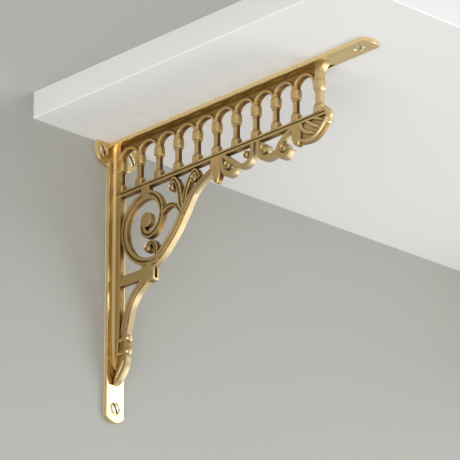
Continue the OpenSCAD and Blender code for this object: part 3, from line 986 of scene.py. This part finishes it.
    def disc(self, work: Casting, out: float, down: float, radius: float, thick: float) -> None:
        """Adds a flat round eye with a soft edge, as the great scroll's."""
        half = thick / 2
        self.eye(work, out, down, [
            (radius, half - 0.7), (radius - 0.12, half - 0.3), (radius - 0.45, half - 0.06),
            (radius - 0.9, half), (0.05, half)], 36)

    def button(self, work: Casting, out: float, down: float, radius: float, thick: float) -> None:
        """Adds the round eye with a raised rim that a small scroll ends in."""
        rim, half = min(1.1, radius * 0.3), thick / 2
        self.eye(work, out, down, [
            (radius, half * 0.72), (radius - rim * 0.25, half * 0.93), (radius - rim * 0.6, half),
            (radius - rim, half * 0.9), (radius - rim * 1.25, half * 0.8), (radius * 0.42, half * 0.86),
            (radius * 0.2, half * 0.96), (0.05, half)], 28)

    def scrolls(self) -> None:
        """Makes the brace, and the great scroll with its branches."""
        work, brace = Casting(), Casting()
        t = self.web_t + 0.3
        brace.sweep(self.stand, self.below([
            (104, 3, 4), (95, 7, 4.6), (87, 11.5, 5), (80.5, 16.5, 6), (74.5, 24, 7.6), (69, 31, 8.2),
            (63, 38.5, 8.2), (56.5, 45, 8), (49.5, 51, 7.6), (42, 55, 7), (34, 56, 5)]), t, Moulding.DOUBLE)
        self.declare(brace, "brace", self.flank_highlit)
        ridged = [
            [(46, 53, 6), (37, 52.5, 5.6), (27.5, 49.5, 5.4), (19, 42.5, 5.4), (13.6, 32.5, 5.6),
             (12.8, 22, 5.8), (16.4, 12.6, 6), (24, 6, 6.4), (33, 3.2, 6.6), (41.5, 5, 6), (47.6, 10.5, 5),
             (49.9, 18, 4.4), (48.8, 25.5, 4.4), (44.4, 31, 4.8), (38.2, 33.2, 5.4), (32.6, 30.4, 5.2),
             (31.4, 24.6, 4.4), (32.4, 19.6, 3)],
            [(45.5, 50, 3.4), (44.8, 44.6, 3.4), (42.6, 40.4, 3.2), (39, 39.4, 3), (36, 41, 3)],
            [(73, 26, 5), (69.6, 19, 4.8), (68.4, 11, 4.4), (66, 3.6, 4), (62, -0.4, 3.8), (59.4, 3.6, 3)],
            [(73, 24, 5), (74.4, 13, 4.2), (78.4, 5, 4), (83.6, 0.4, 4.4), (87.2, 5.4, 3)],
            [(51, 20, 3.4), (58, 17.4, 3.2), (64, 19, 3.2), (69, 25, 3.4)]]
        for curve in ridged:
            work.sweep(self.stand, self.below(curve), t, Moulding.RIDGED)
        work.sweep(self.stand, self.below([(33.6, -3, 8.4), (33.6, 2, 8.4)]), t - 0.6, Moulding.BAND)
        self.disc(work, 35, 21.6, 5.5, self.web_t + 0.6)
        for out, down, radius in ((37, 42.8, 3.2), (60.8, 5.2, 2.8), (83.2, 5, 3)):
            self.button(work, out, down, radius, self.web_t + 1.4)
        self.declare(work, "scrolls", self.cast)

    def running_scrolls(self) -> None:
        """Makes the row of scrolls that hangs under the rail's outer half."""
        work = Casting()
        curves = [
            [(112.4, -2, 3), (121, 4.6, 3.2), (127.5, 9.6, 3.4), (134, 10.4, 3.8), (139, 7, 3.8),
             (140.6, -2, 3.4)],
            [(109.6, -2, 3.2), (111.6, 7, 3.4), (116, 12, 4), (121.4, 12, 4), (124.2, 8.4, 2.6)],
            [(146, -2, 3.4), (146.6, 6.2, 3.6), (151.6, 11, 4), (159, 11.6, 4), (165.2, 9.6, 3.6)],
            [(179, -1.6, 3.4), (172, 2, 3.8), (166, 7.6, 4), (166.6, 13.2, 4), (171.6, 15.6, 4),
             (176, 12.6, 2.4)]]
        # No two are equally thick, so their faces never share a plane where they cross.
        for i, curve in enumerate(curves):
            work.sweep(self.stand, self.below(curve), self.web_t + 0.8 + 0.16 * i, Moulding.BAND)
        for out, down, radius in ((116.6, 5.4, 3.3), (152, 4.8, 3.5), (134.6, 3.4, 2.6), (171, 9.6, 3.2)):
            self.button(work, out, down, radius, self.web_t + 2.0)
        self.declare(work, "running_scrolls", self.flank_highlit)

    def leaves(self) -> None:
        """Makes the middle leaf, the pendant and the fluted end leaf."""
        work = Casting()
        middle_leaf = [(99.6, -3.6), (99.4, 8), (104.8, 15.4), (108.6, 10.4), (110.4, -3.6)]
        pendant = [(178.6, -3.6), (178.8, 7.4), (182.8, 12.0), (186.6, 8.4), (187, -3.6)]
        end_leaf = [(180, -3.6), (184, 10), (191, 12.6), (199, 12.8), (206, 9.6), (211, 4), (210, -3.6)]
        for outline, swell in ((middle_leaf, 6.2), (pendant, 6.4)):
            work.dome(self.stand, self.below(outline, 6, closed=True), 3.6, swell)
        work.dome(self.stand, self.below(end_leaf, 6, closed=True), 2.0, 2.6)
        for curve in ([(105, -2, 3.6), (104.6, 6, 3), (104.8, 14, 1.2)],
                      [(182.8, -2, 3.6), (182.8, 4, 3), (183, 10.8, 1.4)]):
            work.sweep(self.stand, self.below(curve), 6.4, Moulding.ROUND)
        flutes = Casting()
        for curve in ([(187, -2.4, 1.8), (188.2, 1.6, 3), (192.6, 5, 3.4), (199.4, 7.8, 2)],
                      [(191.6, -3.2, 1.8), (194.8, -0.8, 3), (199.4, 2.2, 3.4), (204.8, 5, 2)],
                      [(197.6, -3.4, 1.6), (201.6, -2.2, 2.4), (207.4, 0.4, 2)]):
            flutes.sweep(self.stand, self.below(curve), 5.6, Moulding.ROUND)
        self.declare(flutes, "leaf_flutes", self.linished_highlit)
        self.declare(work, "leaves", self.cast)

    def knee(self, work: Casting, bright: Casting, thick: float) -> None:
        """Adds the tie bar and the knee at its end, with the bright slotted rim on the knee's face.

        Args:
            work: The mesh in the making of the cast work.
            bright: The mesh in the making of the linished work.
            thick: The ornament's thickness across the wall.
        """
        tie = [(5, 60, 6.8), (14, 60, 6.8), (26, 60.4, 7.6), (34, 61, 8.4)]
        work.sweep(self.stand, self.below(tie), thick - 0.4, Moulding.BAND)
        face = 42
        block = [(30, 55.4), (face, 56.4), (face, 67.4), (31, 68.4)]
        work.plate(self.stand, [(u, v + self.level) for u, v in block], [], -thick / 2, thick / 2, 0.4)
        middle = self.level + 61.9
        rim, slot = chamfered(2.5, 5.6, 0.9), chamfered(1.1, 3.9, 0.6)
        bright.plate(lambda across, down, out: self.stand(out, down + middle, across), rim, [slot],
                     face - 0.6, face + 1.4, 0.35)

    def foot(self) -> None:
        """Makes the tie bar, the knee, the lower brace and the ringed finial."""
        work, brace, bright, dark = Casting(), Casting(), Casting(), Casting()
        t = self.web_t + 0.3
        self.knee(work, bright, t)
        brace.sweep(self.stand, self.below([
            (38, 63, 8), (31, 67.6, 7.6), (24.4, 72.4, 7.4), (19.6, 78.4, 7.6), (16.8, 85, 7.8),
            (15, 92, 8), (13.8, 97, 7.6), (13.8, 101, 6)]), t, Moulding.DOUBLE)
        stem = [(14.9, 98, 3.2), (14.7, 107, 3), (14.9, 114, 3)]
        work.sweep(self.stand, self.below(stem), t - 0.3, Moulding.BAND)
        leaf = [(10.6, 114.2), (14.2, 114), (15.4, 117.8), (14.2, 122), (11.4, 126.4), (7.8, 130),
                (4.2, 132.2), (3, 130), (4.6, 124.6), (8.4, 119)]
        bright.dome(self.stand, self.below(leaf, 6, closed=True), 2.2, 3.4)
        brace.sweep(self.stand, self.below([
            (14.8, 113.4, 2), (15.4, 117.6, 2.2), (14.2, 122.2, 2.3), (11.4, 126.7, 2.1),
            (7.9, 130.4, 1.7), (4.4, 132.7, 1), (3.2, 133.4, 0.5)]), 5.0, Moulding.BAND)
        vein = [(4.2, 131.6, 1.6), (5.6, 127.4, 3.4), (9.2, 122.6, 3.6), (12.4, 118.6, 2.6)]
        work.sweep(self.stand, self.below(vein), 4.6, Moulding.ROUND)
        # Painted shade: a dark sheet fills the finial's openings, where the strip behind lies in shade.
        shade_outline = [(6, 100), (13.6, 100), (13.6, 116), (8.4, 121), (4, 126), (4, 116)]
        dark.plate(self.stand, [(u, v + self.level) for u, v in shade_outline], [], -1.2, 1.2, 0.3)
        self.declare(dark, "foot_shade_sheet", self.shade_darkened)
        for ring, reach, height in ((102.4, 19, 4.8), (112, 18.4, 4.6)):
            down = ring + self.level
            bar = [(7.6, down, height * 0.7), (reach - height - 1, down, height * 0.8)]
            work.sweep(self.stand, bar, 4.4, Moulding.ROUND)
            ball = [(max(radius, 0.05), up) for radius, up in arc((0, 0), height / 2 + 0.3, -90, 90, 14)]
            at = (reach - height / 2 - 0.3, down)
            bright.lathe(lambda a, b, t, at=at: self.stand(at[0] + a, at[1] + b, t * 1.15), ball, 24)
        self.declare(work, "foot", self.cast)
        self.declare(brace, "lower_brace", self.flank_highlit)
        self.declare(bright, "foot_rims", self.linished_highlit)

    def declare(self, work: Casting, part: str, finish: bpy.types.Material, crease: float = CREASE) -> None:
        """Turns finished work into a piece that stands for the bracket's CAD node."""
        made = work.piece(f"{self.side}_bracket_{part}", finish, crease)
        declare(made, self.side + "_bracket", "cast_brass")

    def build(self) -> None:
        """Makes every part of the casting."""
        for part in (self.strips, self.rib, self.gallery, self.gusset, self.rail, self.scrolls,
                     self.running_scrolls, self.leaves, self.foot):
            part()


# ---- Setting ----


@dataclass
class Studio:
    """The wall, the floor, the soft lights and the camera."""

    wall_paint: bpy.types.Material
    floor_paint: bpy.types.Material
    wall_gap: float = 0.0006
    wall_half: tuple[float, float] = (5.0, 3.0)
    floor_half: float = 40.0
    floor_level: float = -8.0
    room_light: float = 0.4
    lens: float = 347.6
    eye: Solid = (-2.123, -2.125, -1.198)
    yaw: float = 43.38
    pitch: float = 21.75

    def sheet(self, name: str, corners: Sequence[Solid], finish: bpy.types.Material) -> None:
        """Adds one flat backdrop.

        Args:
            name: Its name.
            corners: Its corners in metres, anticlockwise as seen from its visible side.
            finish: Its material.
        """
        mesh = bpy.data.meshes.new(name)
        mesh.from_pydata(corners, [], [tuple(range(len(corners)))])
        mesh.materials.append(finish)
        linked(name, mesh)

    def softbox(self, name: str, at: Solid, towards: Solid, size: float, power: float) -> bpy.types.Object:
        """Adds a square soft light.

        Args:
            name: Its name.
            at: Its place in metres.
            towards: The point that it faces.
            size: Its side in metres.
            power: Its power in watts.

        Returns:
            The light.
        """
        light = bpy.data.lights.new(name, "AREA")
        light.size = size
        light.energy = power
        made = linked(name, light)
        made.location = at
        made.rotation_euler = (Vector(towards) - Vector(at)).to_track_quat("-Z", "Y").to_euler()
        return made

    def camera(self) -> None:
        """Stands the camera in the room, low and to the left."""
        data = bpy.data.cameras.new("camera")
        data.lens = self.lens
        data.clip_end = 200
        made = linked("camera", data)
        made.location = self.eye
        yaw, pitch = math.radians(self.yaw), math.radians(self.pitch)
        aim = Vector((math.sin(yaw) * math.cos(pitch), math.cos(yaw) * math.cos(pitch), math.sin(pitch)))
        made.rotation_euler = aim.to_track_quat("-Z", "Y").to_euler()
        bpy.context.scene.camera = made

    def build(self) -> None:
        """Makes the whole setting."""
        (x, z), gap = self.wall_half, self.wall_gap
        self.sheet("wall_backdrop", [(-x, gap, -z), (x, gap, -z), (x, gap, z), (-x, gap, z)], self.wall_paint)
        far, low = self.floor_half, self.floor_level
        self.sheet("floor", [(-far, -far, low), (far, -far, low), (far, far, low), (-far, far, low)],
                   self.floor_paint)
        self.softbox("key", (1.9, -2.3, 1.1), (-0.1, 0, -0.1), 2.2, 43)
        self.softbox("low_fill", (2.0, -1.3, -1.7), (0.1, 0, -0.2), 2.0, 44)
        self.softbox("left_fill", (-2.4, -1.0, -1.3), (-0.3, -0.1, -0.05), 2.0, 39)
        self.softbox("front_fill", (-0.4, -2.8, -0.5), (-0.2, 0, -0.1), 2.0, 6)
        back = self.softbox("back_fill", (0.3, 2.6, 0.9), (0, 0, -0.05), 2.0, 50)
        seen = bpy.data.collections.new("lit_from_behind")
        for piece in bpy.context.scene.objects:
            if piece.get("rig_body") or piece.get("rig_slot"):
                seen.objects.link(piece)
        back.light_linking.receiver_collection = seen
        back.light_linking.blocker_collection = seen
        world = bpy.data.worlds.new("room")
        world.use_nodes = True
        background = world.node_tree.nodes["Background"]
        background.inputs["Color"].default_value = (1.0, 0.995, 0.98, 1)
        background.inputs["Strength"].default_value = self.room_light
        bpy.context.scene.world = world
        bpy.context.scene.view_settings.view_transform = "Standard"
        self.camera()


def main() -> None:
    """Builds every piece in order."""
    logging.basicConfig(level=logging.INFO, format="%(name)s: %(message)s")
    # The strips' brass, with painted shade on their flats.
    polished = Brass("polished_brass", metal=(0.93, 0.75, 0.42), dark_patina_and_shade=(0.2, 0.115, 0.035), shine=0.19,
                     spread=0.1, patina_and_shade=0.3, recess=0.003, flank_shade=0.0, strips=True).build()
    # Cast brass, with painted shade on its flanks.
    cast = Brass("cast_brass", metal=(0.72, 0.52, 0.245), flank_shade=1.1, shine=0.27).build()
    # Paler brass for raised rims: a belt-ground finish, partly a painted highlight.
    linished_highlit = Brass("linished_highlit_brass", metal=(0.76, 0.6, 0.33), patina_and_shade=0.85, flank_shade=0.12).build()
    # Brace brass: paler flanks, a painted highlight.
    flank_highlit = Brass("brace_brass_flank_highlight", metal=(0.64, 0.47, 0.22), flank_shade=-0.45, shine=0.4,
                   flank_highlight=(0.53, 0.44, 0.275)).build()
    # Darker brass for the sunk plates and the sheet in the finial: painted shade.
    shade_darkened = Brass("shade_darkened_brass", metal=(0.43, 0.3, 0.12), shine=0.4, patina_and_shade=1.3).build()
    screw = Brass("screw_brass", metal=(0.97, 0.91, 0.74), shine=0.24, spread=0.08, patina_and_shade=1.25,
                  recess=0.0026, flank_shade=0.0).build()
    nylon = Nylon("plug_nylon").build()
    board_paint = Paint("board_paint", (0.85, 0.85, 0.845), (0.83, 0.83, 0.822)).build()
    # Paler paint for the board's rounded edges: a painted highlight.
    highlight_edge_paint = Paint("board_highlight_edge_paint", (0.97, 0.97, 0.965), (0.96, 0.96, 0.955), 0.3).build()
    Board(board_paint, highlight_edge_paint).build()
    for side, sign in (("left", -1), ("right", 1)):
        bracket = Bracket(side, polished, cast, linished_highlit, flank_highlit, shade_darkened)
        bracket.build()
        middle = bracket.middle
        wall_seats = (("outer_ear", middle + sign * 13, -7.0), ("inner_ear", middle - sign * 13, -7.0),
                      ("foot", middle, -193.0))
        for name, x, z in wall_seats:
            WoodScrew(screw, f"{side}_{name}_screw", (x, -3.0, z), (0, 1, 0), 32.0, -50.0 - x % 17).build()
            WallPlug(nylon, f"{side}_{name}_plug").build()
        WoodScrew(screw, f"{side}_shelf_screw", (middle, -241.0, -3.0), (0, 0, 1), 16.0, 40.0).build()
    wall = Paint("wall_paint", (0.47, 0.474, 0.445), (0.455, 0.46, 0.43), rough=0.6, stipple=0.00004,
                 scale=500, one_sided=True).build()
    floor = Paint("floor_paint", (0.9, 0.9, 0.89), (0.88, 0.88, 0.87), 0.6).build()
    Studio(wall, floor).build()


if __name__ == "__main__":
    main()
